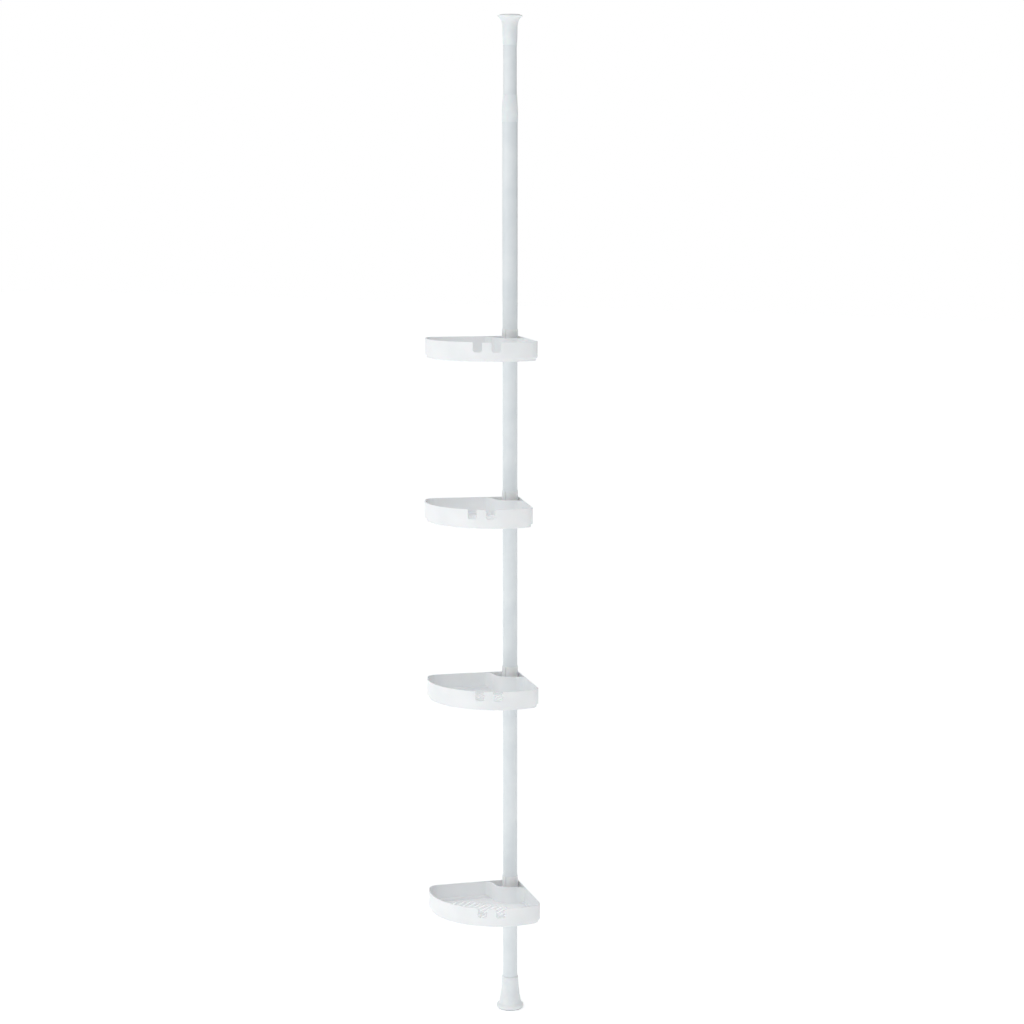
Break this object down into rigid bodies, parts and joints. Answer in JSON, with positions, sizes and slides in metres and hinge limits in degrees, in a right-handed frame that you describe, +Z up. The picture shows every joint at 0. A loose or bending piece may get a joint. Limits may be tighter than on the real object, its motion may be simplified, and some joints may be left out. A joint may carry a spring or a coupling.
{
  "type": "shower caddy",
  "caption": "Floor-to-ceiling corner shower caddy: a spring-loaded telescopic pole with corner trays that slide and turn on it.",
  "frame": {"origin": "on the pole's axis, at the underside of the floor pad", "axes": "+Z up the pole, the fronts of the trays towards -Y, the room corner towards +Y"},
  "size_m": [0.2193, 0.1832, 1.68],
  "materials": {
    "white_plastic": "moulded, satin gloss",
    "white_steel": "powder-coated, satin",
    "clip_plastic": "moulded, matt",
    "pad_rubber": "soft, matt",
    "nylon": "moulded, matt",
    "spring_steel": "drawn wire"
  },
  "bodies": {
    "pole": {"floor_pad": "pad_rubber", "foot": "white_plastic", "lower_pole": "white_steel", "lower_joiner": "nylon", "middle_pole": "white_steel", "upper_joiner": "nylon", "upper_pole": "white_steel", "reducer": "white_plastic"},
    "lock_plug": {"expansion_plug": "nylon"},
    "extension": {"lock_spindle": "nylon", "extension_pole": "white_steel", "spring_seat": "nylon", "tension_spring": "spring_steel"},
    "top_end": {"top_cap": "white_plastic", "ceiling_pad": "pad_rubber"},
    "top_clip": {"top_clip_left": "clip_plastic", "top_clip_right": "clip_plastic"},
    "top_tray": {"top_tray": "white_plastic"},
    "second_clip": {"second_clip_left": "clip_plastic", "second_clip_right": "clip_plastic"},
    "second_tray": {"second_tray": "white_plastic"},
    "third_clip": {"third_clip_left": "clip_plastic", "third_clip_right": "clip_plastic"},
    "third_tray": {"third_tray": "white_plastic"},
    "bottom_clip": {"bottom_clip_left": "clip_plastic", "bottom_clip_right": "clip_plastic"},
    "bottom_tray": {"bottom_tray": "white_plastic"}
  },
  "joints": [
    {"name": "height_slide", "type": "slide", "parent": "pole", "child": "lock_plug", "axis": [0, 0, 1], "range_m": [-0.055, 0.3]},
    {"name": "lock_twist", "type": "hinge", "parent": "lock_plug", "child": "extension", "pos_m": [0, 0, 1.15], "axis": [0, 0, 1], "range_deg": [0, 180]},
    {"name": "spring_travel", "type": "slide", "parent": "extension", "child": "top_end", "axis": [0, 0, 1], "range_m": [-0.018, 0], "stiffness_N_per_m": 5000, "deforming": ["tension_spring"]},
    {"name": "top_tray_height", "type": "slide", "parent": "pole", "child": "top_clip", "axis": [0, 0, 1], "range_m": [-0.1, 0.3]},
    {"name": "top_tray_swivel", "type": "hinge", "parent": "top_clip", "child": "top_tray", "pos_m": [0, 0, 1.156], "axis": [0, 0, 1], "continuous": true},
    {"name": "second_tray_height", "type": "slide", "parent": "pole", "child": "second_clip", "axis": [0, 0, 1], "range_m": [-0.1, 0.1]},
    {"name": "second_tray_swivel", "type": "hinge", "parent": "second_clip", "child": "second_tray", "pos_m": [0, 0, 0.886], "axis": [0, 0, 1], "continuous": true},
    {"name": "third_tray_height", "type": "slide", "parent": "pole", "child": "third_clip", "axis": [0, 0, 1], "range_m": [-0.1, 0.1]},
    {"name": "third_tray_swivel", "type": "hinge", "parent": "third_clip", "child": "third_tray", "pos_m": [0, 0, 0.587], "axis": [0, 0, 1], "continuous": true},
    {"name": "bottom_tray_height", "type": "slide", "parent": "pole", "child": "bottom_clip", "axis": [0, 0, 1], "range_m": [-0.12, 0.12]},
    {"name": "bottom_tray_swivel", "type": "hinge", "parent": "bottom_clip", "child": "bottom_tray", "pos_m": [0, 0, 0.222], "axis": [0, 0, 1], "continuous": true}
  ]
}
